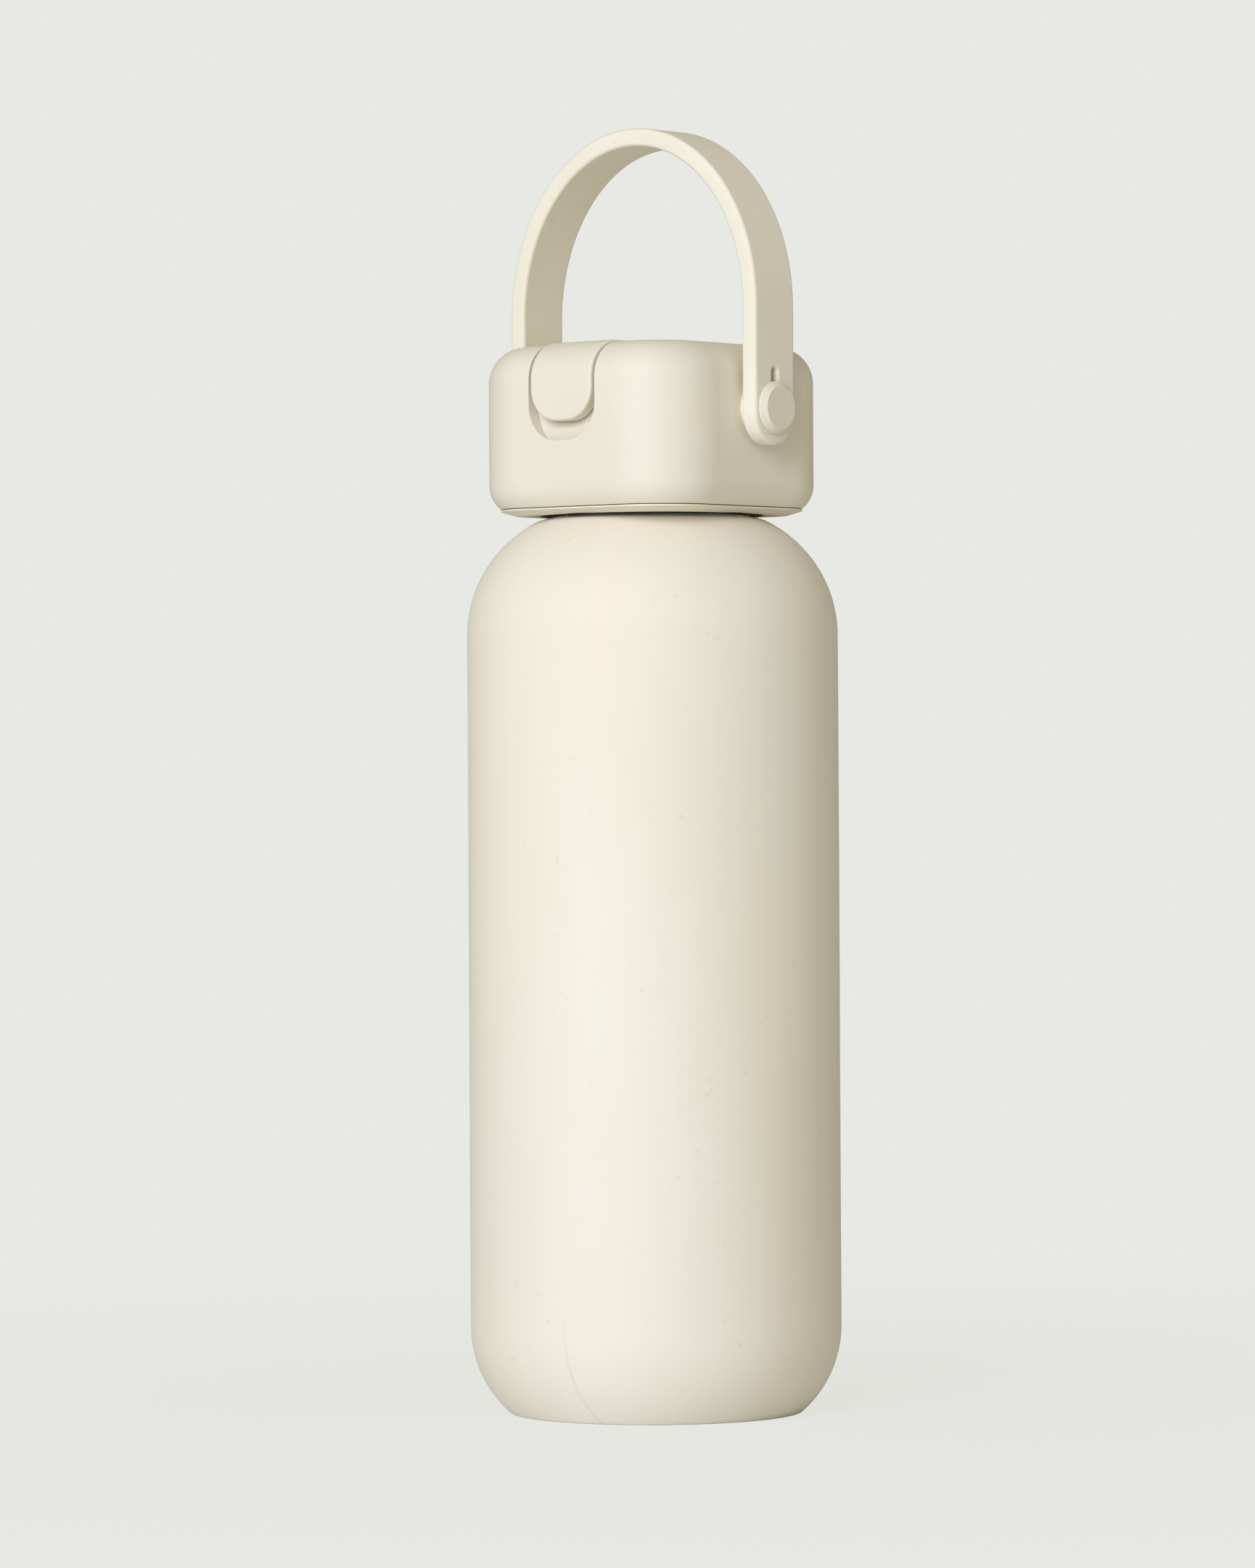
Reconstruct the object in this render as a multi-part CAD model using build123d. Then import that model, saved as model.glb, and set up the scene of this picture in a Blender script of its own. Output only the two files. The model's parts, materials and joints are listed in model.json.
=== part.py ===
from build123d import *
from math import acos, asin, cos, degrees, radians, sin, sqrt
import os

# A glass water bottle in a silicone sleeve. Its screw lid has a spout under a flip cover, and a
# carry strap that swings on two studs. Millimetres, with the origin at the centre of the foot
# and +Z up. The flip cover's tab is at the front, -Y, and the studs are at -X and +X.

# Sleeve
body_diameter = 75.0
wall_height = 139.4
foot_height = 17.5
foot_curve = 22.9
shoulder_curve = 25.6
collar_radius = 22.0
sleeve_wall = 2.0
sleeve_clearance = 0.15
foot_edge = 1.0
foot_recess_radius = 22.5
foot_recess_depth = 0.8
collar_edge = 0.5

# Glass bottle
glass_wall = 2.2
glass_base = 4.5
neck_radius = 20.2
neck_wall = 2.7
neck_height = 12.1
rim_edge = 0.8
inner_shoulder_edge = 2.0
punt_radius = 21.0
punt_depth = 2.0

# Screw thread, right-handed with a single start
thread_pitch = 4.0
thread_turns = 1.25
cap_thread_turns = 1.1
thread_depth = 1.3
thread_root = 2.2
thread_crest = 1.2
thread_start = 3.9
thread_clearance = 0.6
thread_sink = 0.3
thread_angle = 130.0

# Inner cap and its gasket
cap_wall = 1.6
cap_ceiling = 2.0
cap_clearance = 0.6
gasket_thickness = 1.5
gasket_gap = 0.15
gasket_overhang = 0.3
gasket_lip = 0.5
torque_rib_width = 2.0
torque_rib_gap = 0.5

# Lid shell and lid base
lid_gap = 0.6
shell_wall = 3.3
roof_wall = 2.2
lid_corner = 15.0
top_round = 7.4
lower_round = 6.0
seam_inset = 2.3
seam_gap = 0.2
base_height = 1.4
base_dish = 3.0
base_dish_rise = 0.9
spigot_height = 2.0
snap_bead = 0.45
snap_height = 0.6
snap_clearance = 0.15

# Spout and its seal
spout_forward = 6.0
spout_bore = 5.2
spout_wall = 2.05
spout_height = 6.1
spout_lip_edge = 0.7
flange_radius = 9.9
flange_thickness = 2.4
boss_height = 5.1
boss_wall = 2.0
pass_clearance = 0.2
seal_section = 0.55
seal_groove_play = 0.05
spigot_play = 0.1
spigot_wall = 1.8

# Flip cover and the pocket that it lies in
cover_width = 16.0
cover_thickness = 2.6
cover_proud = 0.4
cover_edge = 0.6
tab_drop = 15.7
tab_corner = 6.6
pocket_side_gap = 0.7
pocket_wall = 1.8
recess_depth = 3.0
recess_drop = 19.6
scoop_height = 5.3
hinge_back = 9.0
knuckle_radius = 3.8
knuckle_gap = 0.4
open_angle = 120.0
pin_radius = 1.0
pin_fit = 0.05
pin_end_gap = 0.2

# Spout plug
plug_gap = 0.3
plug_seat_gap = 0.2
plug_flange = 0.9
plug_flange_inset = 0.35
plug_straight = 1.5
plug_dome = 2.5
plug_stem_radius = 2.0
plug_stem_length = 1.3
stem_clearance = 0.05

# Carry strap and its studs
strap_width = 12.4
strap_thickness = 3.6
strap_gap = 1.25
strap_straight = 20.5
strap_reach = 57.4
strap_end_drop = 1.2
strap_edge = 0.6
slit_width = 1.5
slit_height = 8.0
pivot_drop = 13.4
stud_radius = 3.0
stud_fit = 0.08
stud_play = 0.1
stud_collar = 5.0
stud_head = 5.3
stud_face = 4.3
stud_head_height = 1.45
stud_rim_height = 0.4
stud_key = 4.4
stud_key_depth = 1.6
key_clearance = 0.1

# Stud screws
screw_radius = 1.25
screw_fit = 0.05
screw_head_radius = 2.6
screw_head_height = 1.7
screw_socket = 1.5
screw_socket_depth = 1.0
screw_reach = 5.2
screw_hole_clearance = 0.3

# Heights up the bottle
body_radius = body_diameter / 2
wall_top = foot_height + wall_height
foot_centre = body_radius - foot_curve
shoulder_centre = body_radius - shoulder_curve
collar_top = wall_top + sqrt(shoulder_curve**2 - (collar_radius - shoulder_centre) ** 2)
glass_inset = sleeve_wall + sleeve_clearance
glass_foot = foot_recess_depth + sleeve_wall
rim = collar_top + neck_height

# Heights up the lid
lid_bottom = collar_top + lid_gap
seam = lid_bottom + base_height
gasket_bottom = rim + gasket_gap
ceiling = gasket_bottom + gasket_thickness + gasket_gap
cap_top = ceiling + cap_ceiling
cap_bottom = seam + spigot_height + seam_gap
flange_top = cap_top + flange_thickness
pocket_floor = flange_top + boss_height + pocket_wall
spout_top = pocket_floor + spout_height
cover_bottom = spout_top + plug_seat_gap + plug_flange
cover_top = cover_bottom + cover_thickness
lid_top = cover_top - cover_proud
hinge_height = cover_top - knuckle_radius
pivot_height = lid_top - pivot_drop

# Widths across the lid
thread_outside = neck_radius + thread_depth
cap_bore = thread_outside + thread_clearance
cap_outside = cap_bore + cap_wall
cavity_half = cap_outside + cap_clearance
lid_half = cavity_half + shell_wall
cavity_corner = lid_corner - shell_wall
seam_half = lid_half - seam_inset
gasket_outside = cap_bore - gasket_gap
gasket_inside = neck_radius - neck_wall - gasket_overhang
spout_outside = spout_bore + spout_wall
boss_bore = spout_outside + pass_clearance
spigot_outside = spout_bore + spigot_wall
pocket_half = cover_width / 2 + pocket_side_gap
strap_inside = lid_half + strap_gap
strap_outside = strap_inside + strap_thickness

spout_place = (0, -spout_forward, 0)


def ring(outer, inner, low, high, place=(0, 0, 0)):
    """A round ring between two heights."""
    section = Circle(outer) - Circle(inner)
    return Pos(*place) * Pos(0, 0, low) * extrude(section, high - low)


def disc(radius, low, high, place=(0, 0, 0)):
    """A round disc between two heights."""
    return Pos(*place) * Pos(0, 0, low) * extrude(Circle(radius), high - low)


def rounded_block(half, corner, low, high):
    """A block with a rounded-square outline."""
    return Pos(0, 0, low) * extrude(RectangleRounded(2 * half, 2 * half, corner), high - low)


def turned(edges):
    """A solid turned about Z from the closed outline of its section, in radius and height."""
    return revolve(Plane.XZ * make_face(edges), Axis.Z, 360)


def bottle_solid(inset, floor, neck, top):
    """The solid inside the bottle's outline moved in by inset, with a straight neck."""
    foot_arc = foot_curve - inset
    foot_turn = degrees(asin((foot_height - floor) / foot_arc))
    foot = Vector(foot_centre + foot_arc * cos(radians(foot_turn)), floor)
    shoulder_arc = shoulder_curve - inset
    shoulder_turn = degrees(acos((neck - shoulder_centre) / shoulder_arc))
    root = Vector(neck, wall_top + shoulder_arc * sin(radians(shoulder_turn)))
    outline = [
        Line((0, floor), foot),
        CenterArc((foot_centre, foot_height), foot_arc, -foot_turn, foot_turn),
        Line((body_radius - inset, foot_height), (body_radius - inset, wall_top)),
        CenterArc((shoulder_centre, wall_top), shoulder_arc, 0, shoulder_turn),
        Line(root, (neck, top)),
        Line((neck, top), (0, top)),
        Line((0, top), (0, floor)),
    ]
    return turned(outline)


def thread(radius, depth, turns, low, angle):
    """A helical ridge that starts at a height and angle; a negative depth points inwards."""
    side = 1 if depth > 0 else -1
    flare = (thread_root - thread_crest) / 2 * thread_sink / thread_depth
    root = radius - side * thread_sink
    profile = Polyline(
        (root, -thread_root / 2 - flare),
        (radius + depth, -thread_crest / 2),
        (radius + depth, thread_crest / 2),
        (root, thread_root / 2 + flare),
        close=True,
    )
    path = Helix(thread_pitch, thread_pitch * turns, radius)
    ridge = sweep(Plane.XZ * make_face(profile), path=path, is_frenet=True)
    return Pos(0, 0, low) * Rot(0, 0, angle) * ridge


def glass_bottle():
    outside = bottle_solid(glass_inset, glass_foot, neck_radius, rim)
    bore = neck_radius - neck_wall
    hollow = bottle_solid(glass_inset + glass_wall, glass_foot + glass_base, bore, rim)
    root_edge = hollow.edges().filter_by(GeomType.CIRCLE).filter_by(lambda e: abs(e.radius - bore) < 0.01)
    hollow = fillet(root_edge.sort_by(Axis.Z)[0], inner_shoulder_edge)
    punt_sphere = (punt_radius**2 + punt_depth**2) / (2 * punt_depth)
    punt = Pos(0, 0, glass_foot + punt_depth - punt_sphere) * Sphere(punt_sphere)
    bottle = outside - hollow - punt
    bottle = fillet(bottle.edges().group_by(Axis.Z)[-1], rim_edge)
    low = lid_bottom + thread_start
    return bottle + thread(neck_radius, thread_depth, thread_turns, low, thread_angle)


def protective_sleeve():
    outside = bottle_solid(0, 0, collar_radius, rim)
    inside = bottle_solid(sleeve_wall, glass_foot, neck_radius + sleeve_clearance, rim)
    sleeve = outside - inside - disc(body_radius, collar_top, rim)
    sleeve = fillet(sleeve.edges().group_by(Axis.Z)[0], foot_edge)
    rim_edges = sleeve.edges().group_by(Axis.Z)[-1].sort_by(SortBy.RADIUS)
    sleeve = fillet(rim_edges[-1], collar_edge)
    return sleeve - disc(foot_recess_radius, 0, foot_recess_depth)


def inner_cap():
    cap = ring(cap_outside, cap_bore, cap_bottom, ceiling) + disc(cap_outside, ceiling, cap_top)
    reach = (cavity_half - cavity_corner) * sqrt(2) + cavity_corner - torque_rib_gap
    rib = Pos(0, 0, cap_bottom) * Box(
        reach, torque_rib_width, cap_top - cap_bottom, align=(Align.MIN, Align.CENTER, Align.MIN)
    )
    ribs = [Rot(0, 0, 45 + 90 * turn) * rib for turn in range(4)]
    cap = cap + ribs - disc(cap_bore, cap_bottom, ceiling)
    lip_top = rim
    cap = cap + ring(cap_bore + thread_sink, gasket_outside - gasket_lip, lip_top - gasket_lip, lip_top)
    cap = cap - disc(spigot_outside + spigot_play, ceiling, cap_top, spout_place)
    # The ridge lies half a pitch from the bottle's, a quarter turn back.
    low = lid_bottom + thread_start + thread_pitch / 4
    depth = neck_radius + thread_clearance - cap_bore
    ridge = thread(cap_bore, depth, cap_thread_turns, low, thread_angle - 90)
    return cap + ridge


def neck_gasket():
    return ring(gasket_outside, gasket_inside, gasket_bottom, gasket_bottom + gasket_thickness)


def lid_outside():
    """The outside of the whole lid, down to the seam."""
    turn_height = sqrt(lower_round**2 - (lower_round - seam_inset) ** 2)
    low = seam + turn_height - lower_round
    block = rounded_block(lid_half, lid_corner, low, lid_top)
    block = fillet(block.edges().group_by(Axis.Z)[-1], top_round)
    block = fillet(block.edges().group_by(Axis.Z)[0], lower_round)
    return block - rounded_block(lid_half, lid_corner, low, seam)


def pocket(grow):
    """The space for the flip cover, with its walls moved out by grow."""
    front = -lid_half + recess_depth + grow
    floor = pocket_floor - grow
    above = lid_top + 1
    outside = -lid_half - 1
    # The finger scoop is an arc from the front face up to the back of the recess.
    scoop = (scoop_height**2 + recess_depth**2) / (2 * recess_depth)
    centre = Vector(front - grow - scoop, lid_top - recess_drop + scoop_height)
    turn = acos((-lid_half - centre.X) / (scoop + grow))
    middle = centre + Vector(cos(turn / 2), -sin(turn / 2)) * (scoop + grow)
    low = Vector(-lid_half, centre.Y - (scoop + grow) * sin(turn))
    high = Vector(front, centre.Y)
    # Behind the hinge the wall slopes back, and the open cover's back rests along it.
    stop = knuckle_radius + knuckle_gap + grow
    lean = radians(open_angle - 90)
    foot = Vector(hinge_back + stop * cos(lean), hinge_height - stop * sin(lean))
    rear_top = foot + Vector(sin(lean), cos(lean)) * ((above - foot.Y) / cos(lean))
    side = [
        Line((outside, low.Y), low),
        ThreePointArc(low, middle, high),
        Line(high, (front, floor)),
        Line((front, floor), (foot.X, floor)),
        Line((foot.X, floor), foot),
        Line(foot, rear_top),
        Line(rear_top, (outside, above)),
        Line((outside, above), (outside, low.Y)),
    ]
    half = pocket_half + grow
    run = extrude(Plane.YZ * make_face(side), half, both=True)
    bottom = lid_top - recess_drop - grow
    return run & front_outline(half, tab_corner + pocket_side_gap + grow, bottom)


def front_outline(half, corner, bottom):
    """A block that runs front to back, with a U at the bottom of its outline."""
    height = lid_top + 2 - bottom
    outline = Pos(0, bottom + height / 2) * Rectangle(2 * half, height)
    outline = fillet(outline.vertices().group_by(Axis.Y)[0], corner)
    return extrude(Plane.XZ * outline, 2 * lid_half, both=True)


def stud_key_pocket(side):
    """The square pocket and screw hole through the shell's wall behind a stud."""
    key = stud_key + 2 * key_clearance
    depth = stud_key_depth + key_clearance
    centre = Pos(side * (lid_half - depth / 2), 0, pivot_height)
    hole = Pos(side * (lid_half - shell_wall / 2), 0, pivot_height) * Rot(0, 90, 0)
    drill = Cylinder(screw_radius + screw_hole_clearance, 2 * shell_wall)
    return centre * Box(depth, key, key) + hole * drill


def lid_shell():
    outside = lid_outside()
    cavity = rounded_block(cavity_half, cavity_corner, seam - 1, lid_top - roof_wall)
    cavity = fillet(cavity.edges().group_by(Axis.Z)[-1], top_round - shell_wall)
    tub = pocket(pocket_wall) & outside
    shell = outside - cavity + tub
    boss = disc(boss_bore + boss_wall, flange_top + seal_groove_play, pocket_floor, spout_place)
    shell = shell + boss - disc(boss_bore, flange_top, pocket_floor, spout_place) - pocket(0)
    bead_low = seam + (spigot_height - snap_height) / 2
    bead = snap_bead + snap_clearance
    groove = rounded_block(
        cavity_half + bead - snap_clearance,
        cavity_corner + bead - snap_clearance,
        bead_low - snap_clearance,
        bead_low + snap_height + snap_clearance,
    )
    pin_hole = Pos(0, hinge_back, hinge_height) * Rot(0, 90, 0)
    pin_hole = pin_hole * Cylinder(pin_radius + pin_fit, 2 * (pocket_half + pocket_wall))
    return shell - groove - pin_hole - stud_key_pocket(1) - stud_key_pocket(-1)


def lid_base():
    plate = rounded_block(seam_half, lid_corner - seam_inset, lid_bottom, seam - seam_gap)
    under_edges = plate.edges().group_by(Axis.Z)[0]
    under_face = plate.faces().sort_by(Axis.Z)[0]
    plate = chamfer(under_edges, base_dish, base_dish_rise, reference=under_face)
    spigot_half = cavity_half - snap_clearance
    spigot_corner = cavity_corner - snap_clearance
    spigot = rounded_block(spigot_half, spigot_corner, seam - seam_gap, seam + spigot_height)
    bead_low = seam + (spigot_height - snap_height) / 2
    bead = rounded_block(
        spigot_half + snap_bead, spigot_corner + snap_bead, bead_low, bead_low + snap_height
    )
    return plate + spigot + bead - disc(cap_bore + snap_bead, lid_bottom - 1, seam + spigot_height)


def seal_ring_radius():
    return (spigot_outside + flange_radius) / 2


def spout():
    tube = ring(spout_outside, spout_bore, cap_top, spout_top, spout_place)
    tube = fillet(tube.edges().group_by(Axis.Z)[-1], spout_lip_edge)
    flange = ring(flange_radius, spout_bore, cap_top, flange_top, spout_place)
    spigot = ring(spigot_outside, spout_bore, ceiling, cap_top, spout_place)
    half_groove = seal_section + seal_groove_play
    middle = seal_ring_radius()
    groove_top = cap_top + 2 * half_groove
    groove = ring(middle + half_groove, middle - half_groove, cap_top, groove_top, spout_place)
    return tube + flange + spigot - groove


def spout_o_ring():
    height = cap_top + seal_section + seal_groove_play
    return Pos(*spout_place) * Pos(0, 0, height) * Torus(seal_ring_radius(), seal_section)


def hinge_pin():
    length = 2 * (pocket_half + pocket_wall - pin_end_gap)
    return Pos(0, hinge_back, hinge_height) * Rot(0, 90, 0) * Cylinder(pin_radius, length)


def flip_cover():
    wrap = Vector(-lid_half + top_round, lid_top - top_round)
    outer = top_round + cover_proud
    inner = outer - cover_thickness
    tip = lid_top - tab_drop
    strip = [
        Line((hinge_back, cover_bottom), (wrap.X, cover_bottom)),
        CenterArc(wrap, inner, 90, 90),
        Line((wrap.X - inner, wrap.Y), (wrap.X - inner, tip)),
        Line((wrap.X - inner, tip), (wrap.X - outer, tip)),
        Line((wrap.X - outer, tip), (wrap.X - outer, wrap.Y)),
        CenterArc(wrap, outer, 180, -90),
        Line((wrap.X, cover_top), (hinge_back, cover_top)),
        Line((hinge_back, cover_top), (hinge_back, cover_bottom)),
    ]
    plate = extrude(Plane.YZ * make_face(strip), cover_width / 2, both=True)
    plate = plate & front_outline(cover_width / 2, tab_corner, tip)
    plate = fillet(outer_cover_edges(plate), cover_edge)
    across = Pos(0, hinge_back, hinge_height) * Rot(0, 90, 0)
    knuckle = Cylinder(knuckle_radius, cover_width)
    knuckle = fillet(knuckle.edges().filter_by(GeomType.CIRCLE), cover_edge)
    pin_hole = across * Cylinder(pin_radius + pin_fit, 2 * cover_width)
    stem_top = cover_bottom + plug_stem_length + stem_clearance
    stem_hole = disc(plug_stem_radius + stem_clearance, cover_bottom, stem_top, spout_place)
    return plate + across * knuckle - pin_hole - stem_hole


def outer_cover_edges(cover):
    """The straight edges along the cover's top, which lead round the whole outside face."""
    top = cover.faces().filter_by(GeomType.PLANE).sort_by(Axis.Z)[-1]
    return [edge for edge in top.edges() if abs(edge.tangent_at(0.5).Y) > 0.5]


def spout_plug():
    inside = spout_bore - plug_gap
    flange_low = spout_top + plug_seat_gap
    plug = disc(inside, spout_top - plug_straight, flange_low)
    plug = plug + disc(spout_outside - plug_flange_inset, flange_low, cover_bottom)
    plug = plug + disc(plug_stem_radius, cover_bottom, cover_bottom + plug_stem_length)
    low = spout_top - plug_straight
    dome = make_face(
        [
            Line((0, low), (inside, low)),
            EllipticalCenterArc((0, low), inside, plug_dome, 270, arc_size=90),
            Line((0, low - plug_dome), (0, low)),
        ]
    )
    return Pos(*spout_place) * (plug + revolve(Plane.XZ * dome, Axis.Z, 360))


def stud(side):
    """A stud on the lid's side: a key in the wall, a collar, a shaft for the strap and a head."""
    key_end = lid_half - stud_key_depth
    collar_end = strap_inside - stud_play
    head_start = strap_outside + stud_play
    face = head_start + stud_head_height
    post = disc(stud_collar, lid_half, collar_end) + disc(stud_radius, collar_end, head_start)
    head = turned(
        Polyline(
            (0, head_start),
            (stud_head, head_start),
            (stud_head, head_start + stud_rim_height),
            (stud_face, face),
            (0, face),
            close=True,
        )
    )
    key = Pos(0, 0, key_end) * extrude(Rectangle(stud_key, stud_key), lid_half - key_end)
    hole_end = cavity_half + screw_reach + screw_fit
    body = post + head + key - disc(screw_radius + screw_fit, key_end, hole_end)
    return Pos(0, 0, pivot_height) * Rot(0, side * 90, 0) * body


def stud_screw(side):
    """The screw that holds a stud from inside the shell."""
    head = disc(screw_head_radius, cavity_half - screw_head_height, cavity_half)
    head = fillet(head.edges().group_by(Axis.Z)[0], screw_socket_depth / 2)
    socket = Pos(0, 0, cavity_half - screw_head_height) * extrude(
        RegularPolygon(screw_socket, 6), screw_socket_depth
    )
    body = head - socket + disc(screw_radius, cavity_half, cavity_half + screw_reach)
    return Pos(0, 0, pivot_height) * Rot(0, side * 90, 0) * body


def arch(half, top):
    """The area under an arch with straight arms and a half-ellipse over them."""
    low = pivot_height - strap_end_drop - strap_width / 2
    spring = pivot_height + strap_straight
    return make_face(
        [
            Line((-half, low), (half, low)),
            Line((half, low), (half, spring)),
            EllipticalCenterArc((0, spring), half, top - spring, 0, arc_size=180),
            Line((-half, spring), (-half, low)),
        ]
    )


def carry_strap():
    top = pivot_height + strap_reach
    band = arch(strap_outside, top) - arch(strap_inside, top - strap_thickness)
    strap = extrude(Plane.XZ * band, strap_width / 2, both=True)
    low = pivot_height - strap_end_drop - strap_width / 2
    outline = Pos(0, (low + top + 1) / 2) * Rectangle(strap_width, top + 1 - low)
    outline = fillet(outline.vertices().group_by(Axis.Y)[0], strap_width / 2 - 0.001)
    strap = strap & extrude(Plane.YZ * outline, strap_outside + 1, both=True)
    strap = fillet(strap.edges().filter_by(lambda e: abs(e.tangent_at(0.5).X) < 0.99), strap_edge)
    hole = Rot(0, 90, 0) * Cylinder(stud_radius + stud_fit, 3 * strap_outside)
    slit = Pos(0, 0, slit_height / 2) * Box(3 * strap_outside, slit_width, slit_height)
    return strap - Pos(0, 0, pivot_height) * (hole + slit)


nodes = {
    "glass_bottle": glass_bottle(),
    "protective_sleeve": protective_sleeve(),
    "inner_cap": inner_cap(),
    "neck_gasket": neck_gasket(),
    "lid_shell": lid_shell(),
    "lid_base": lid_base(),
    "spout": spout(),
    "spout_o_ring": spout_o_ring(),
    "hinge_pin": hinge_pin(),
    "flip_cover": flip_cover(),
    "spout_plug": spout_plug(),
    "strap_stud_right": stud(1),
    "strap_stud_left": stud(-1),
    "stud_screw_right": stud_screw(1),
    "stud_screw_left": stud_screw(-1),
    "carry_strap": carry_strap(),
}

os.makedirs("parts", exist_ok=True)
for name, shape in nodes.items():
    export_step(shape, f"parts/{name}.step")
    print(name, len(shape.solids()), round(shape.volume, 1))
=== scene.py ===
import json
import math

import bmesh
import bpy
import numpy as np
from mathutils import Matrix, Vector

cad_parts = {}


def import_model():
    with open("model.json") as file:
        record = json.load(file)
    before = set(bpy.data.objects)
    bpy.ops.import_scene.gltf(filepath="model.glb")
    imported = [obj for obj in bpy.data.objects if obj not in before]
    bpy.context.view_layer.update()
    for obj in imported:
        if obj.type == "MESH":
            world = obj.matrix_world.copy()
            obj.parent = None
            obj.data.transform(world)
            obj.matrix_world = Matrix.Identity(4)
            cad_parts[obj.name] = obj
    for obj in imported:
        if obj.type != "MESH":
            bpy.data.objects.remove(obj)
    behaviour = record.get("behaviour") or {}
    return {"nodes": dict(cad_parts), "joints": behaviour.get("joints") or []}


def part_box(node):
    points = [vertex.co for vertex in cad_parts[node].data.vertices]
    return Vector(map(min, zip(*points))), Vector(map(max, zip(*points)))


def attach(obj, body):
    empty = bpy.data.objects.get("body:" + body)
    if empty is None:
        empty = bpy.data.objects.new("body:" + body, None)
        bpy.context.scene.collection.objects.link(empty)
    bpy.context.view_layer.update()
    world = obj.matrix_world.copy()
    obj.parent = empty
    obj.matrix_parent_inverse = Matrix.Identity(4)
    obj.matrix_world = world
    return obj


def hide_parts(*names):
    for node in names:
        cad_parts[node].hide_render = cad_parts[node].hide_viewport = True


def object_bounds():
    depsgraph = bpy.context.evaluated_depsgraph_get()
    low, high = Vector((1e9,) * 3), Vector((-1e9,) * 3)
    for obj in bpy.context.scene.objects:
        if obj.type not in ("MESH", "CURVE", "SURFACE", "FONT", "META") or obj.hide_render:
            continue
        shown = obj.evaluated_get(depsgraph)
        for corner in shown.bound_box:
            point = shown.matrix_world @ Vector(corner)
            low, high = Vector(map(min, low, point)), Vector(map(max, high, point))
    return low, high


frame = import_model()
CAD_BOX = [list(corner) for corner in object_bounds()]

MM = 0.001

# The camera stands in front and to the right of the bottle, level, a little under mid height.
CAMERA_AZIMUTH = math.radians(40.65)
CAMERA_DISTANCE = 1.3537
CAMERA_HEIGHT = 0.1269
CAMERA_ASIDE = -0.0052
CAMERA_ROLL = math.radians(0.31)
CAMERA_LENS = 153.7

BACKDROP = (0.807, 0.807, 0.776)

# Warm light comes from all round. The key stands in front, and a weak fill to its right.
AMBIENT_COLOUR = (1.0, 0.935, 0.72)
AMBIENT_STRENGTH = 0.39
# Each lamp: name, azimuth and elevation in degrees, distance and size in metres, watts, colour.
LAMPS = [
    ("key", 17, 21, 1.9, 1.1, 26.0, (0.84, 0.885, 1.0)),
    ("fill", 62, 6, 2.2, 1.2, 1.0, (1.0, 0.93, 0.80)),
]

# The floor: its own colour, the share of plain backdrop at the foot, and how far that fades.
FLOOR_ALBEDO = (0.86, 0.87, 0.86)
FLOOR_PLAIN = 0.9
FLOOR_NEAR = 0.06
FLOOR_FADE = 0.45
FLOOR_HALF = 20

# Cream colours, linear, of the moulded lid and of the silicone.
LID_CREAM = (0.875, 0.820, 0.695)
SLEEVE_CREAM = (0.880, 0.825, 0.705)

# The sleeve's section.
SLEEVE_WALL = 2.0 * MM
FOOT_HEIGHT = 17.5 * MM
FOOT_CURVE = 22.9 * MM
FOOT_EDGE = 1.0 * MM
FOOT_RECESS_RADIUS = 22.5 * MM
FOOT_RECESS_DEPTH = 0.8 * MM
SHOULDER_CURVE = 25.6 * MM
COLLAR_RADIUS = 22.0 * MM
COLLAR_EDGE = 0.5 * MM
COLLAR_BORE = 20.35 * MM
LIP_EDGE = 0.2 * MM
RECESS_EDGE = 0.3 * MM
SLEEVE_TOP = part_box("protective_sleeve")[1][2]
SLEEVE_SEGMENTS = 288

# How far the sleeve's wall lies inside its true outline: everywhere, in slow and in quick waves.
SLEEVE_INSET = 0.045 * MM
SLOW_WAVE = 0.028 * MM
QUICK_WAVE = 0.012 * MM
WAVE_FLOOR = 2 * MM
WAVE_FADE_LOW = 10 * MM
WAVE_FADE_HIGH = 6 * MM

# The strap's ends and its soft edge.
SLIT_WIDTH = 1.5 * MM
SLIT_HEIGHT = 8.0 * MM
HOLE_RADIUS = 3.08 * MM
STRAP_STRAIGHT = 20.5 * MM
STRAP_EDGE = 0.75 * MM
STRAP_GAP = 1.25 * MM
STRAP_CUT = 1.0 * MM
STRAP_SHARP = 40

# The gasket's, the plug's and the seals' sections.
GASKET_WIDTH = 4.75 * MM
GASKET_EDGE = 0.35 * MM
GROOVE_PITCH = 1.0 * MM
GROOVE_HALF = 0.3 * MM
GROOVE_DEPTH = 0.15 * MM
PLUG_RADIUS = 4.9 * MM
PLUG_DOME = 2.5 * MM
PLUG_SEAT = 4.2 * MM
PLUG_TOP = 5.1 * MM
PLUG_GROOVE = 0.25 * MM
PLUG_GROOVE_LOW = 1.0 * MM
PLUG_GROOVE_HIGH = 0.3 * MM
PLUG_GROOVE_SLOPE = 0.7 * MM
PLUG_STEM = 2.0 * MM
PLUG_EDGE = 0.2 * MM
SEAL_SEGMENTS = 96


# ---------------------------------------------------------------- materials

def new_material(name, colour, roughness):
    material = bpy.data.materials.new(name)
    material.use_nodes = True
    shader = material.node_tree.nodes["Principled BSDF"]
    shader.inputs["Base Color"].default_value = (*colour, 1)
    shader.inputs["Roughness"].default_value = roughness
    return material, material.node_tree.nodes, material.node_tree.links, shader


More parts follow.
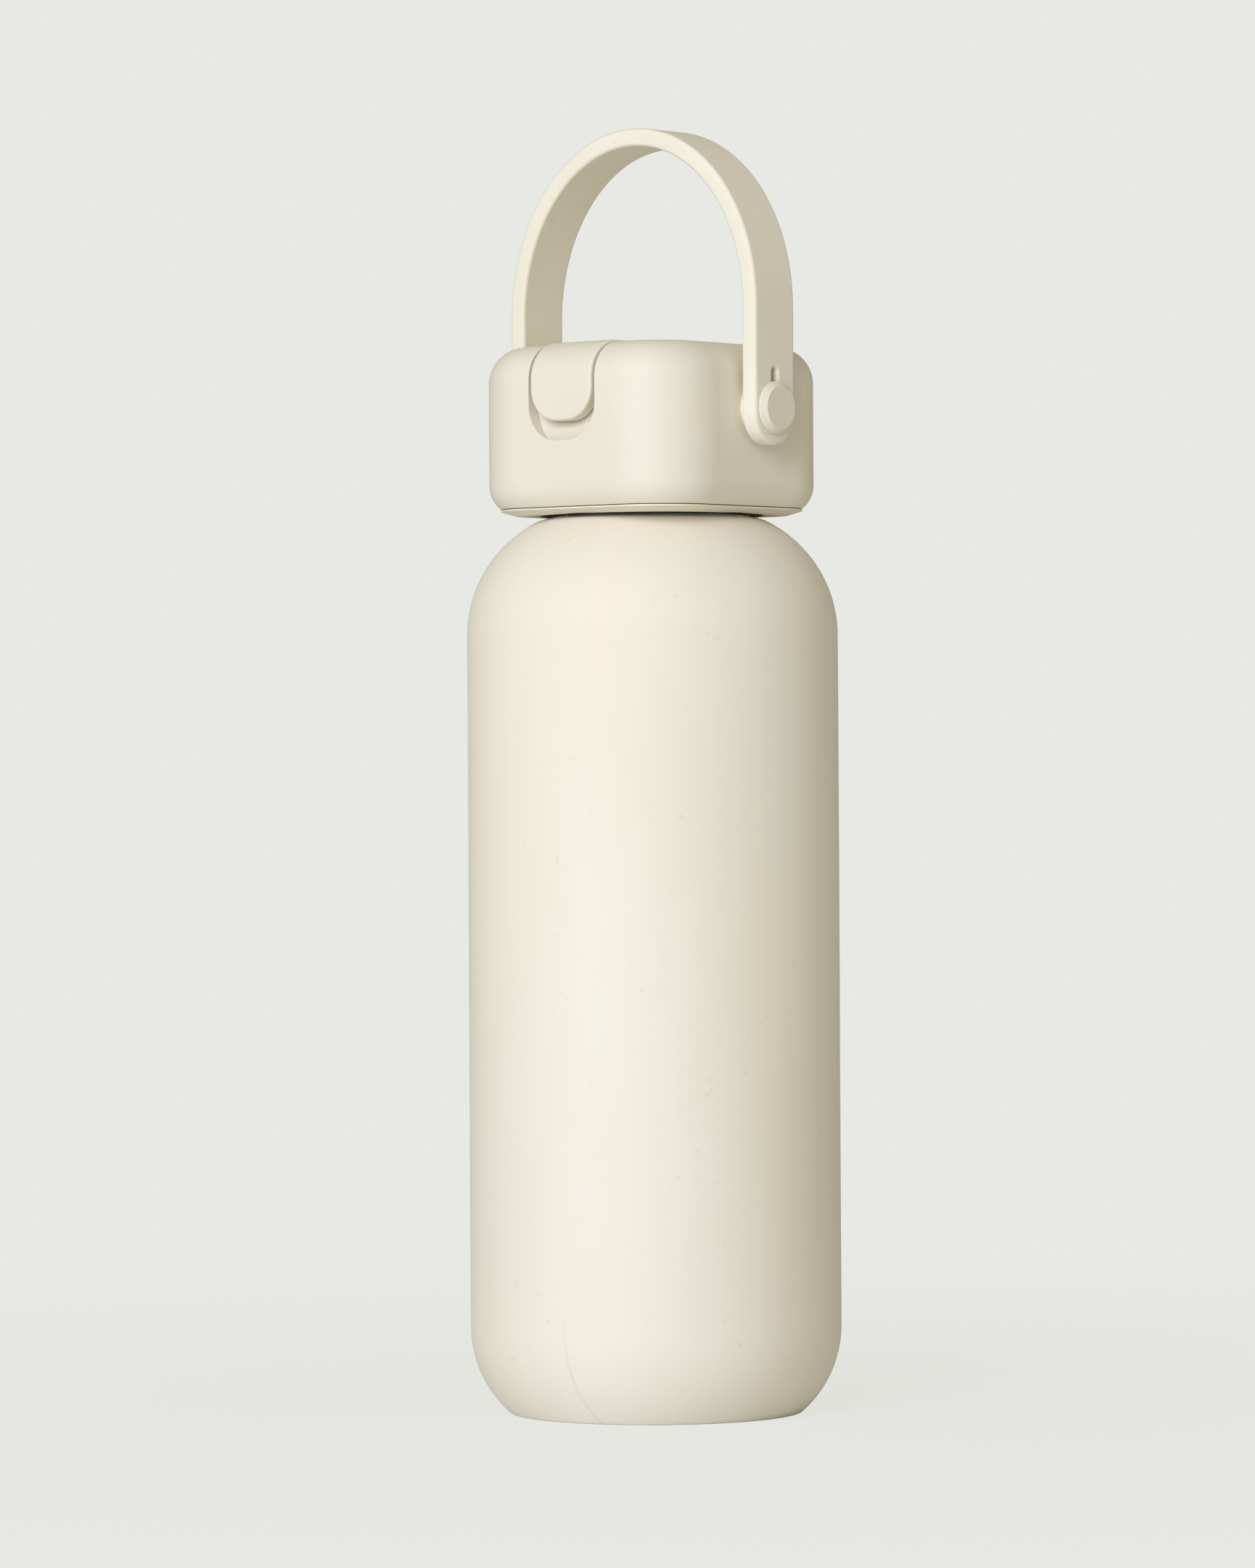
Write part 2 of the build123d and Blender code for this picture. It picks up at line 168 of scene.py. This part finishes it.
def noise(nodes, links, coordinates, scale, detail=3.0, stretch=(1, 1, 1)):
    """Noise in object coordinates, in cycles a metre, stretched along some axes."""
    mapping = nodes.new("ShaderNodeMapping")
    mapping.inputs["Scale"].default_value = stretch
    links.new(coordinates, mapping.inputs["Vector"])
    texture = nodes.new("ShaderNodeTexNoise")
    texture.inputs["Scale"].default_value = scale
    texture.inputs["Detail"].default_value = detail
    links.new(mapping.outputs["Vector"], texture.inputs["Vector"])
    return texture.outputs["Fac"]


def remap(nodes, links, value, low, high, to_low, to_high):
    node = nodes.new("ShaderNodeMapRange")
    node.inputs["From Min"].default_value = low
    node.inputs["From Max"].default_value = high
    node.inputs["To Min"].default_value = to_low
    node.inputs["To Max"].default_value = to_high
    links.new(value, node.inputs["Value"])
    return node.outputs["Result"]


def tint(nodes, links, base, colour, amount):
    """base turned towards colour by amount, which is a socket."""
    mix = nodes.new("ShaderNodeMix")
    mix.data_type = "RGBA"
    links.new(amount, mix.inputs["Factor"])
    if isinstance(base, tuple):
        mix.inputs["A"].default_value = (*base, 1)
    else:
        links.new(base, mix.inputs["A"])
    mix.inputs["B"].default_value = (*colour, 1)
    return mix.outputs["Result"]


def bump(nodes, links, height, distance, strength=1.0, under=None):
    node = nodes.new("ShaderNodeBump")
    node.inputs["Distance"].default_value = distance
    node.inputs["Strength"].default_value = strength
    links.new(height, node.inputs["Height"])
    if under is not None:
        links.new(under, node.inputs["Normal"])
    return node.outputs["Normal"]


def coordinates_of(nodes):
    return nodes.new("ShaderNodeTexCoord").outputs["Object"]


def moulded_plastic(name, colour, roughness=0.52, cloud=0.05):
    """Matte moulded plastic: a faint cloudiness and a fine spark-eroded grain."""
    material, nodes, links, shader = new_material(name, colour, roughness)
    place = coordinates_of(nodes)
    clouds = noise(nodes, links, place, 26, 2)
    darker = tuple(c * (1 - 1.6 * cloud) for c in colour)
    amount = remap(nodes, links, clouds, 0.3, 0.7, 0.0, 1.0)
    base = tint(nodes, links, colour, darker, amount)
    warm = tuple(c * k for c, k in zip(colour, (0.99, 0.955, 0.90)))
    warmth = remap(nodes, links, noise(nodes, links, place, 70, 3), 0.45, 0.75, 0.0, 0.5)
    links.new(tint(nodes, links, base, warm, warmth), shader.inputs["Base Color"])
    grain = noise(nodes, links, place, 2600, 2)
    rough = remap(nodes, links, grain, 0.3, 0.7, roughness - 0.05, roughness + 0.08)
    links.new(rough, shader.inputs["Roughness"])
    pores = bump(nodes, links, grain, 0.00002, 0.5)
    waves = noise(nodes, links, place, 90, 2)
    links.new(bump(nodes, links, waves, 0.00006, 0.5, pores), shader.inputs["Normal"])
    shader.inputs["Specular IOR Level"].default_value = 0.35
    return material


def hairlines(nodes, links, place, scale, turn, width, where_low):
    """Thin broken lines, as a mask that is 1 on a line and 0 off it."""
    mapping = nodes.new("ShaderNodeMapping")
    mapping.inputs["Rotation"].default_value = turn
    mapping.inputs["Scale"].default_value = (1.0, 1.0, 0.22)
    links.new(place, mapping.inputs["Vector"])
    cells = nodes.new("ShaderNodeTexVoronoi")
    cells.feature = "DISTANCE_TO_EDGE"
    cells.inputs["Scale"].default_value = scale
    links.new(mapping.outputs["Vector"], cells.inputs["Vector"])
    line = remap(nodes, links, cells.outputs["Distance"], 0.0, width, 1.0, 0.0)
    patches = noise(nodes, links, place, scale * 1.3, 1)
    only = remap(nodes, links, patches, where_low, where_low + 0.06, 0.0, 1.0)
    both = nodes.new("ShaderNodeMath")
    both.operation = "MULTIPLY"
    links.new(line, both.inputs[0])
    links.new(only, both.inputs[1])
    return both.outputs["Value"]


def soft_silicone(name, colour, streaks):
    """Matte silicone: upright mottling, a fine grain, and a few thin scuffs."""
    material, nodes, links, shader = new_material(name, colour, 0.62)
    place = coordinates_of(nodes)
    base = colour
    if streaks:
        pink = tuple(c * k for c, k in zip(colour, (1.0, 0.965, 0.945)))
        green = tuple(c * k for c, k in zip(colour, (0.962, 0.985, 0.935)))
        pale = tuple(min(c * k, 0.95) for c, k in zip(colour, (1.01, 1.025, 1.075)))
        tall = noise(nodes, links, place, 34, 3, (1, 1, 0.16))
        base = tint(nodes, links, base, pink, remap(nodes, links, tall, 0.46, 0.68, 0, 0.8))
        second = noise(nodes, links, place, 21, 3, (1.3, 1.3, 0.2))
        base = tint(nodes, links, base, green, remap(nodes, links, second, 0.5, 0.7, 0, 0.8))
        third = noise(nodes, links, place, 15, 4, (1.2, 1.2, 0.35))
        base = tint(nodes, links, base, pale, remap(nodes, links, third, 0.48, 0.66, 0, 0.9))
        lines = hairlines(nodes, links, place, 15, (0.5, 0.35, 0.2), 0.006, 0.60)
        worn = tuple(c * k for c, k in zip(colour, (0.86, 0.84, 0.80)))
        faint = remap(nodes, links, lines, 0, 1, 0, 0.5)
        base = tint(nodes, links, base, worn, faint)
    else:
        clouds = noise(nodes, links, place, 40, 3)
        warm = tuple(c * k for c, k in zip(colour, (0.97, 0.955, 0.91)))
        base = tint(nodes, links, base, warm, remap(nodes, links, clouds, 0.42, 0.68, 0, 0.8))
    specks = noise(nodes, links, place, 420, 1)
    grime = tuple(c * k for c, k in zip(colour, (0.90, 0.88, 0.82)))
    base = tint(nodes, links, base, grime, remap(nodes, links, specks, 0.73, 0.80, 0, 0.5))
    links.new(base, shader.inputs["Base Color"])
    grain = noise(nodes, links, place, 1900, 3)
    rough = remap(nodes, links, grain, 0.3, 0.7, 0.56, 0.72)
    links.new(rough, shader.inputs["Roughness"])
    fine = bump(nodes, links, grain, 0.00002, 0.6)
    height = noise(nodes, links, place, 160, 3, (1, 1, 0.35))
    links.new(bump(nodes, links, height, 0.00005, 0.6, fine), shader.inputs["Normal"])
    shader.inputs["Specular IOR Level"].default_value = 0.3
    shader.inputs["Sheen Weight"].default_value = 0.06
    shader.inputs["Sheen Roughness"].default_value = 0.5
    return material


def clear_silicone(name):
    """Milky white seal silicone, with a faint cloudiness."""
    colour = (0.84, 0.84, 0.80)
    material, nodes, links, shader = new_material(name, colour, 0.4)
    place = coordinates_of(nodes)
    cloudy = remap(nodes, links, noise(nodes, links, place, 220, 3), 0.35, 0.7, 0, 1)
    links.new(tint(nodes, links, colour, (0.78, 0.79, 0.76), cloudy), shader.inputs["Base Color"])
    ripples = noise(nodes, links, place, 900, 2)
    links.new(remap(nodes, links, ripples, 0.3, 0.7, 0.34, 0.48), shader.inputs["Roughness"])
    links.new(bump(nodes, links, ripples, 0.00002, 0.5), shader.inputs["Normal"])
    return material


def bottle_glass(name):
    """Clear soda-lime glass with the slow ripples of a blown wall."""
    material, nodes, links, shader = new_material(name, (0.93, 0.98, 0.965), 0.015)
    shader.inputs["Transmission Weight"].default_value = 1.0
    shader.inputs["IOR"].default_value = 1.52
    place = coordinates_of(nodes)
    ripples = noise(nodes, links, place, 55, 2, (1, 1, 0.4))
    links.new(bump(nodes, links, ripples, 0.00012, 0.5), shader.inputs["Normal"])
    seeds = noise(nodes, links, place, 600, 1)
    links.new(remap(nodes, links, seeds, 0.6, 0.8, 0.01, 0.05), shader.inputs["Roughness"])
    return material


def drawn_steel(name):
    """Stainless steel, with fine lines along X, as drawn wire has."""
    material, nodes, links, shader = new_material(name, (0.62, 0.62, 0.60), 0.28)
    shader.inputs["Metallic"].default_value = 1.0
    place = coordinates_of(nodes)
    lines = noise(nodes, links, place, 2200, 2, (0.05, 1, 1))
    links.new(remap(nodes, links, lines, 0.3, 0.7, 0.2, 0.4), shader.inputs["Roughness"])
    links.new(bump(nodes, links, lines, 0.00001, 0.6), shader.inputs["Normal"])
    tone = tint(nodes, links, (0.62, 0.62, 0.60), (0.5, 0.5, 0.49), lines)
    links.new(tone, shader.inputs["Base Color"])
    return material


LID = moulded_plastic("lid_cream", LID_CREAM)
LINER = moulded_plastic("liner_white", (0.84, 0.83, 0.79), 0.42, 0.03)
STUD = moulded_plastic("stud_cream", tuple(c * 0.985 for c in LID_CREAM), 0.48)
SLEEVE = soft_silicone("sleeve_silicone", SLEEVE_CREAM, True)
STRAP = soft_silicone("strap_silicone", LID_CREAM, False)
SEAL = clear_silicone("seal_silicone")
GLASS = bottle_glass("bottle_glass")
STEEL = drawn_steel("steel")


# ---------------------------------------------------------------- meshes

def make_object(name, vertices, faces, material):
    mesh = bpy.data.meshes.new(name)
    mesh.from_pydata([tuple(v) for v in vertices], [], faces)
    mesh.validate()
    obj = bpy.data.objects.new(name, mesh)
    bpy.context.scene.collection.objects.link(obj)
    mesh.materials.append(material)
    mesh.polygons.foreach_set("use_smooth", [True] * len(mesh.polygons))
    return obj


def stand_for(obj, node, body):
    """obj replaces a CAD node and rides on its body."""
    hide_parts(node)
    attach(obj, body)


def turned(name, outline, material, segments=160, centre=(0, 0)):
    """A closed outline of (radius, height) points turned about a vertical axis."""
    outline = np.array(outline)
    count = len(outline)
    angles = np.linspace(0, 2 * math.pi, segments, endpoint=False)
    vertices = []
    for angle in angles:
        for radius, height in outline:
            x = centre[0] + radius * math.cos(angle)
            y = centre[1] + radius * math.sin(angle)
            vertices.append((x, y, height))
    faces = []
    for turn in range(segments):
        after = (turn + 1) % segments
        for k in range(count):
            up = (k + 1) % count
            faces.append((turn * count + k, after * count + k, after * count + up, turn * count + up))
    obj = make_object(name, vertices, faces, material)
    tidy_mesh(obj)
    return obj


def tidy_mesh(obj):
    """Joins doubled points and turns all faces outwards."""
    work = bmesh.new()
    work.from_mesh(obj.data)
    bmesh.ops.remove_doubles(work, verts=work.verts, dist=1e-7)
    bmesh.ops.dissolve_degenerate(work, dist=1e-8, edges=work.edges)
    bmesh.ops.recalc_face_normals(work, faces=work.faces)
    work.to_mesh(obj.data)
    work.free()


def arc(centre, radius, start, end, steps):
    """Points on an arc, in degrees from the outward direction."""
    angles = np.radians(np.linspace(start, end, steps))
    return [(centre[0] + radius * math.cos(a), centre[1] + radius * math.sin(a)) for a in angles]


def line(start, end, steps):
    """Evenly spaced points from start to just before end."""
    start, end = np.array(start), np.array(end)
    return [tuple(start + (end - start) * k / steps) for k in range(steps)]


def sleeve_outline():
    low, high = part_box("protective_sleeve")
    radius, top = high[0], high[2]
    foot = (radius - FOOT_CURVE, FOOT_HEIGHT)
    wall_top = top - math.sqrt(SHOULDER_CURVE**2 - (COLLAR_RADIUS - radius + SHOULDER_CURVE) ** 2)
    shoulder = (radius - SHOULDER_CURVE, wall_top)
    # The foot's edge is a small round between the floor and the foot's curve.
    reach = math.sqrt((FOOT_CURVE - FOOT_EDGE) ** 2 - (FOOT_HEIGHT - FOOT_EDGE) ** 2)
    edge = (foot[0] + reach, FOOT_EDGE)
    edge_turn = -math.degrees(math.asin((FOOT_HEIGHT - FOOT_EDGE) / (FOOT_CURVE - FOOT_EDGE)))
    collar_turn = math.degrees(math.acos((COLLAR_RADIUS - shoulder[0]) / SHOULDER_CURVE))
    inside_foot = FOOT_CURVE - SLEEVE_WALL
    floor = FOOT_RECESS_DEPTH + SLEEVE_WALL
    inner_turn = -math.degrees(math.asin((FOOT_HEIGHT - floor) / inside_foot))
    inside_shoulder = SHOULDER_CURVE - SLEEVE_WALL
    bore_turn = math.degrees(math.acos((COLLAR_BORE - shoulder[0]) / inside_shoulder))
    inner = radius - SLEEVE_WALL
    lip = COLLAR_EDGE
    points = [(0, FOOT_RECESS_DEPTH)]
    points += [(FOOT_RECESS_RADIUS - RECESS_EDGE, FOOT_RECESS_DEPTH)]
    points += [(FOOT_RECESS_RADIUS, FOOT_RECESS_DEPTH - RECESS_EDGE)]
    points += [(FOOT_RECESS_RADIUS, RECESS_EDGE), (FOOT_RECESS_RADIUS + RECESS_EDGE, 0)]
    points += arc(edge, FOOT_EDGE, -90, edge_turn, 6)
    points += arc(foot, FOOT_CURVE, edge_turn, 0, 28)[1:]
    points += line((radius, FOOT_HEIGHT), (radius, wall_top), 70)[1:]
    points += arc(shoulder, SHOULDER_CURVE, 0, collar_turn - 2, 34)
    points += arc((COLLAR_RADIUS - lip, top - lip), lip, 60, 90, 4)
    points += [(COLLAR_BORE + LIP_EDGE, top), (COLLAR_BORE, top - LIP_EDGE)]
    points += arc(shoulder, inside_shoulder, bore_turn, 0, 16)
    points += arc(foot, inside_foot, 0, inner_turn, 12)
    points += [(0, floor)]
    return points


def sleeve():
    """The silicone sleeve. Its wall follows the glass with the soft unevenness of a moulding."""
    obj = turned("sleeve_skin", sleeve_outline(), SLEEVE, SLEEVE_SEGMENTS)
    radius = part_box("protective_sleeve")[1][0]
    for vertex in obj.data.vertices:
        x, y, z = vertex.co
        around = math.atan2(y, x)
        out = math.hypot(x, y)
        if out < 0.6 * radius or z < WAVE_FLOOR:
            continue
        slow = math.sin(3 * around + 31 * z) + math.sin(5 * around - 47 * z + 1.3)
        quick = math.sin(9 * around + 90 * z) * math.sin(120 * z + 2 * around)
        move = -(SLEEVE_INSET + SLOW_WAVE * slow + QUICK_WAVE * quick)
        fade = min(1.0, (z - WAVE_FLOOR) / WAVE_FADE_LOW) * min(1.0, (SLEEVE_TOP - z) / WAVE_FADE_HIGH)
        scale = 1 + move * max(fade, 0) / out
        vertex.co = (x * scale, y * scale, z)
    stand_for(obj, "protective_sleeve", "bottle")


def strap_path():
    """The strap's centre line in X and Z, from the right pivot over the top to the left."""
    low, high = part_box("carry_strap")
    thickness = high[0] - inner_half()
    half = high[0] - thickness / 2
    joint = next(j for j in frame["joints"] if j["name"] == "strap_swing")
    pivot = joint["pos_m"][2]
    spring = pivot + STRAP_STRAIGHT
    rise = high[2] - thickness / 2 - spring
    width = high[1] - low[1]
    bottom = low[2]
    points = [(half, z) for z in np.linspace(bottom, spring, 60)]
    angles = np.linspace(0, math.pi, 721)[1:]
    points += [(half * math.cos(a), spring + rise * math.sin(a)) for a in angles]
    points += [(-half, z) for z in np.linspace(spring, bottom, 60)[1:]]
    return np.array(points), pivot, bottom, width, thickness


def inner_half():
    """Half the width inside the strap: the lid's half-width and the gap beside it."""
    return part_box("lid_shell")[1][0] + STRAP_GAP


def keyhole(pivot_s, up):
    """The closed outline of the hole and slit, at a place along the strap."""
    half = SLIT_WIDTH / 2
    start = math.asin(half / HOLE_RADIUS)
    angles = np.linspace(start, 2 * math.pi - start, 48)
    points = [(pivot_s + up * HOLE_RADIUS * math.cos(a), HOLE_RADIUS * math.sin(a)) for a in angles]
    tip = pivot_s + up * (SLIT_HEIGHT - half)
    for a in np.linspace(-math.pi / 2, math.pi / 2, 9):
        points.append((tip + up * half * math.cos(a), half * math.sin(a)))
    return points


def strap():
    """The strap: a flat pattern with soft edges, bent along its arch."""
    path, pivot, bottom, width, thickness = strap_path()
    steps = np.hypot(*np.diff(path, axis=0).T)
    along = np.concatenate([[0], np.cumsum(steps)])
    total = along[-1]
    half = width / 2
    pattern = bpy.data.curves.new("strap_pattern", "CURVE")
    pattern.dimensions = "2D"
    pattern.fill_mode = "BOTH"
    pattern.bevel_depth = STRAP_EDGE
    pattern.bevel_resolution = 5
    pattern.offset = -STRAP_EDGE
    pattern.extrude = thickness / 2 - STRAP_EDGE
    outline = []
    for a in np.linspace(math.pi / 2, 3 * math.pi / 2, 41):
        outline.append((half + half * math.cos(a), half * math.sin(a)))
    for a in np.linspace(-math.pi / 2, math.pi / 2, 41):
        outline.append((total - half + half * math.cos(a), half * math.sin(a)))
    rise = pivot - bottom
    for points in (outline, keyhole(rise, 1)[::-1], keyhole(total - rise, -1)):
        spline = pattern.splines.new("POLY")
        spline.points.add(len(points) - 1)
        for place, (s, w) in zip(spline.points, points):
            place.co = (s, w, 0, 1)
        spline.use_cyclic_u = True
    flat = bpy.data.objects.new("strap_flat", pattern)
    bpy.context.scene.collection.objects.link(flat)
    bpy.context.view_layer.update()
    mesh = bpy.data.meshes.new_from_object(flat)
    bpy.data.objects.remove(flat)
    work = bmesh.new()
    work.from_mesh(mesh)
    bmesh.ops.remove_doubles(work, verts=work.verts, dist=1e-6)
    for cut in np.arange(2 * half, total - 2 * half, STRAP_CUT):
        geometry = work.verts[:] + work.edges[:] + work.faces[:]
        bmesh.ops.bisect_plane(work, geom=geometry, plane_co=(cut, 0, 0), plane_no=(1, 0, 0))
    bmesh.ops.recalc_face_normals(work, faces=work.faces)
    tangents = np.gradient(path, along, axis=0)
    tangents /= np.linalg.norm(tangents, axis=1)[:, None]
    for vertex in work.verts:
        s, w, t = vertex.co
        s = min(max(s, 0), total)
        x = np.interp(s, along, path[:, 0])
        z = np.interp(s, along, path[:, 1])
        tx = np.interp(s, along, tangents[:, 0])
        tz = np.interp(s, along, tangents[:, 1])
        vertex.co = (x + t * tz, w, z - t * tx)
    work.to_mesh(mesh)
    work.free()
    obj = bpy.data.objects.new("strap_band", mesh)
    bpy.context.scene.collection.objects.link(obj)
    mesh.materials.clear()
    mesh.materials.append(STRAP)
    mesh.polygons.foreach_set("use_smooth", [True] * len(mesh.polygons))
    tidy_mesh(obj)
    sharp_by_angle(obj, STRAP_SHARP)
    stand_for(obj, "carry_strap", "strap")


def sharp_by_angle(obj, degrees):
    """Smooth shading except across edges sharper than an angle."""
    work = bmesh.new()
    work.from_mesh(obj.data)
    limit = math.radians(degrees)
    for edge in work.edges:
        if len(edge.link_faces) == 2 and edge.calc_face_angle(0) > limit:
            edge.smooth = False
    work.to_mesh(obj.data)
    work.free()


def seals():
    """The gasket, the o-ring and the plug, turned with soft edges."""
    low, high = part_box("neck_gasket")
    outer = high[0]
    inner = outer - GASKET_WIDTH
    rib = GASKET_EDGE
    section = [(inner, low[2] + rib), (inner + rib, low[2])]
    middle = (inner + outer) / 2
    for offset in (-GROOVE_PITCH, 0, GROOVE_PITCH):
        groove = middle + offset
        section += [(groove - GROOVE_HALF, low[2]), (groove, low[2] + GROOVE_DEPTH)]
        section += [(groove + GROOVE_HALF, low[2])]
    section += [(outer - rib, low[2]), (outer, low[2] + rib), (outer, high[2] - rib)]
    section += [(outer - rib, high[2]), (inner + rib, high[2]), (inner, high[2] - rib)]
    stand_for(turned("gasket_ring", section, SEAL), "neck_gasket", "lid_seal")

    low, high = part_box("spout_o_ring")
    centre = ((low[0] + high[0]) / 2, (low[1] + high[1]) / 2)
    small = (high[2] - low[2]) / 2
    ring = arc(((high[0] - low[0]) / 2 - small, low[2] + small), small, 0, 345, 24)
    obj = turned("o_ring_round", ring, SEAL, SEAL_SEGMENTS, centre)
    stand_for(obj, "spout_o_ring", "lid")

    low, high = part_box("spout_plug")
    centre = ((low[0] + high[0]) / 2, (low[1] + high[1]) / 2)
    flange = (high[0] - low[0]) / 2
    body = PLUG_RADIUS
    dome = low[2] + PLUG_DOME
    seat = low[2] + PLUG_SEAT
    top = low[2] + PLUG_TOP
    section = [(0, low[2])]
    for a in np.radians(np.linspace(-85, 0, 14)):
        section.append((body * math.cos(a), dome + (dome - low[2]) * math.sin(a)))
    section += [(body, seat - PLUG_GROOVE_LOW), (body - PLUG_GROOVE, seat - PLUG_GROOVE_SLOPE)]
    section += [(body - PLUG_GROOVE, seat - PLUG_GROOVE_HIGH), (body, seat)]
    section += [(flange - PLUG_GROOVE, seat), (flange, seat + PLUG_GROOVE)]
    section += [(flange, top - PLUG_EDGE), (flange - PLUG_EDGE, top)]
    section += [(PLUG_STEM, top), (PLUG_STEM, high[2] - PLUG_EDGE)]
    section += [(PLUG_STEM - PLUG_EDGE, high[2]), (0, high[2])]
    obj = turned("plug_dome", section, SEAL, SEAL_SEGMENTS, centre)
    stand_for(obj, "spout_plug", "flip")


def finish_cad():
    """The moulded, glass and steel pieces keep their CAD shape and take their finish."""
    finishes = {
        "lid_shell": LID,
        "lid_base": LID,
        "flip_cover": LID,
        "inner_cap": LINER,
        "spout": LINER,
        "glass_bottle": GLASS,
        "hinge_pin": STEEL,
        "stud_screw_right": STEEL,
        "stud_screw_left": STEEL,
        "strap_stud_right": STUD,
        "strap_stud_left": STUD,
    }
    for node, material in finishes.items():
        obj = frame["nodes"][node]
        for place in obj.material_slots:
            place.material = material


# ---------------------------------------------------------------- studio

def camera():
    across = Vector((math.cos(CAMERA_AZIMUTH), math.sin(CAMERA_AZIMUTH), 0))
    towards = Vector((-math.sin(CAMERA_AZIMUTH), math.cos(CAMERA_AZIMUTH), 0))
    up = Vector((0, 0, 1))
    right = across * math.cos(CAMERA_ROLL) - up * math.sin(CAMERA_ROLL)
    head = up * math.cos(CAMERA_ROLL) + across * math.sin(CAMERA_ROLL)
    data = bpy.data.cameras.new("camera")
    data.lens = CAMERA_LENS
    data.sensor_width = 36
    obj = bpy.data.objects.new("camera", data)
    bpy.context.scene.collection.objects.link(obj)
    place = across * CAMERA_ASIDE - towards * CAMERA_DISTANCE + up * CAMERA_HEIGHT
    turn = Matrix((right, head, -towards)).transposed().to_4x4()
    obj.matrix_world = Matrix.Translation(place) @ turn
    data.clip_start = 0.05
    data.clip_end = 60
    bpy.context.scene.camera = obj


def lamp(name, azimuth, elevation, distance, size, power, colour, target):
    """A square area lamp, placed round the bottle by azimuth and elevation in degrees."""
    a, e = math.radians(azimuth), math.radians(elevation)
    way = Vector((math.sin(a) * math.cos(e), -math.cos(a) * math.cos(e), math.sin(e)))
    data = bpy.data.lights.new(name, "AREA")
    data.shape = "SQUARE"
    data.size = size
    data.energy = power
    data.color = colour
    obj = bpy.data.objects.new(name, data)
    bpy.context.scene.collection.objects.link(obj)
    obj.location = Vector(target) + way * distance
    obj.rotation_euler = way.to_track_quat("Z", "Y").to_euler()


def world():
    """Plain warm light all round. The camera and the glass see the pale backdrop."""
    scene_world = bpy.data.worlds.new("studio")
    scene_world.use_nodes = True
    bpy.context.scene.world = scene_world
    nodes, links = scene_world.node_tree.nodes, scene_world.node_tree.links
    nodes.clear()
    light = nodes.new("ShaderNodeBackground")
    light.inputs["Color"].default_value = (*AMBIENT_COLOUR, 1)
    light.inputs["Strength"].default_value = AMBIENT_STRENGTH
    seen = nodes.new("ShaderNodeBackground")
    seen.inputs["Color"].default_value = (*BACKDROP, 1)
    seen.inputs["Strength"].default_value = 1.0
    choose = nodes.new("ShaderNodeMixShader")
    out = nodes.new("ShaderNodeOutputWorld")
    links.new(looking(nodes, links), choose.inputs["Fac"])
    links.new(light.outputs[0], choose.inputs[1])
    links.new(seen.outputs[0], choose.inputs[2])
    links.new(choose.outputs[0], out.inputs["Surface"])


def looking(nodes, links):
    """1 for rays from the camera or through glass, and 0 for the rays that light things."""
    ray = nodes.new("ShaderNodeLightPath")
    either = nodes.new("ShaderNodeMath")
    either.operation = "MAXIMUM"
    links.new(ray.outputs["Is Camera Ray"], either.inputs[0])
    links.new(ray.outputs["Is Transmission Ray"], either.inputs[1])
    return either.outputs["Value"]


def floor():
    """A wide pale floor. The camera sees it in the backdrop's colour with a faint shadow."""
    far = FLOOR_HALF
    vertices = [(-far, -far, 0), (far, -far, 0), (far, far, 0), (-far, far, 0)]
    material = bpy.data.materials.new("floor_pale")
    material.use_nodes = True
    nodes, links = material.node_tree.nodes, material.node_tree.links
    nodes.clear()
    lit = nodes.new("ShaderNodeBsdfDiffuse")
    lit.inputs["Color"].default_value = (*FLOOR_ALBEDO, 1)
    plain = nodes.new("ShaderNodeEmission")
    plain.inputs["Color"].default_value = (*BACKDROP, 1)
    reach = nodes.new("ShaderNodeVectorMath")
    reach.operation = "LENGTH"
    links.new(coordinates_of(nodes), reach.inputs[0])
    length = reach.outputs["Value"]
    away = remap(nodes, links, length, FLOOR_NEAR, FLOOR_FADE, FLOOR_PLAIN, 1.0)
    share = nodes.new("ShaderNodeMath")
    share.operation = "MULTIPLY"
    links.new(away, share.inputs[1])
    mix = nodes.new("ShaderNodeMixShader")
    out = nodes.new("ShaderNodeOutputMaterial")
    links.new(looking(nodes, links), share.inputs[0])
    links.new(share.outputs["Value"], mix.inputs["Fac"])
    links.new(lit.outputs[0], mix.inputs[1])
    links.new(plain.outputs[0], mix.inputs[2])
    links.new(mix.outputs[0], out.inputs["Surface"])
    obj = make_object("floor", vertices, [(0, 1, 2, 3)], material)


camera()
world()
floor()
middle = (0, 0, CAD_BOX[1][2] / 2)
for values in LAMPS:
    lamp(*values, middle)
finish_cad()
sleeve()
strap()
seals()

view = bpy.context.scene.view_settings
view.view_transform = "Standard"
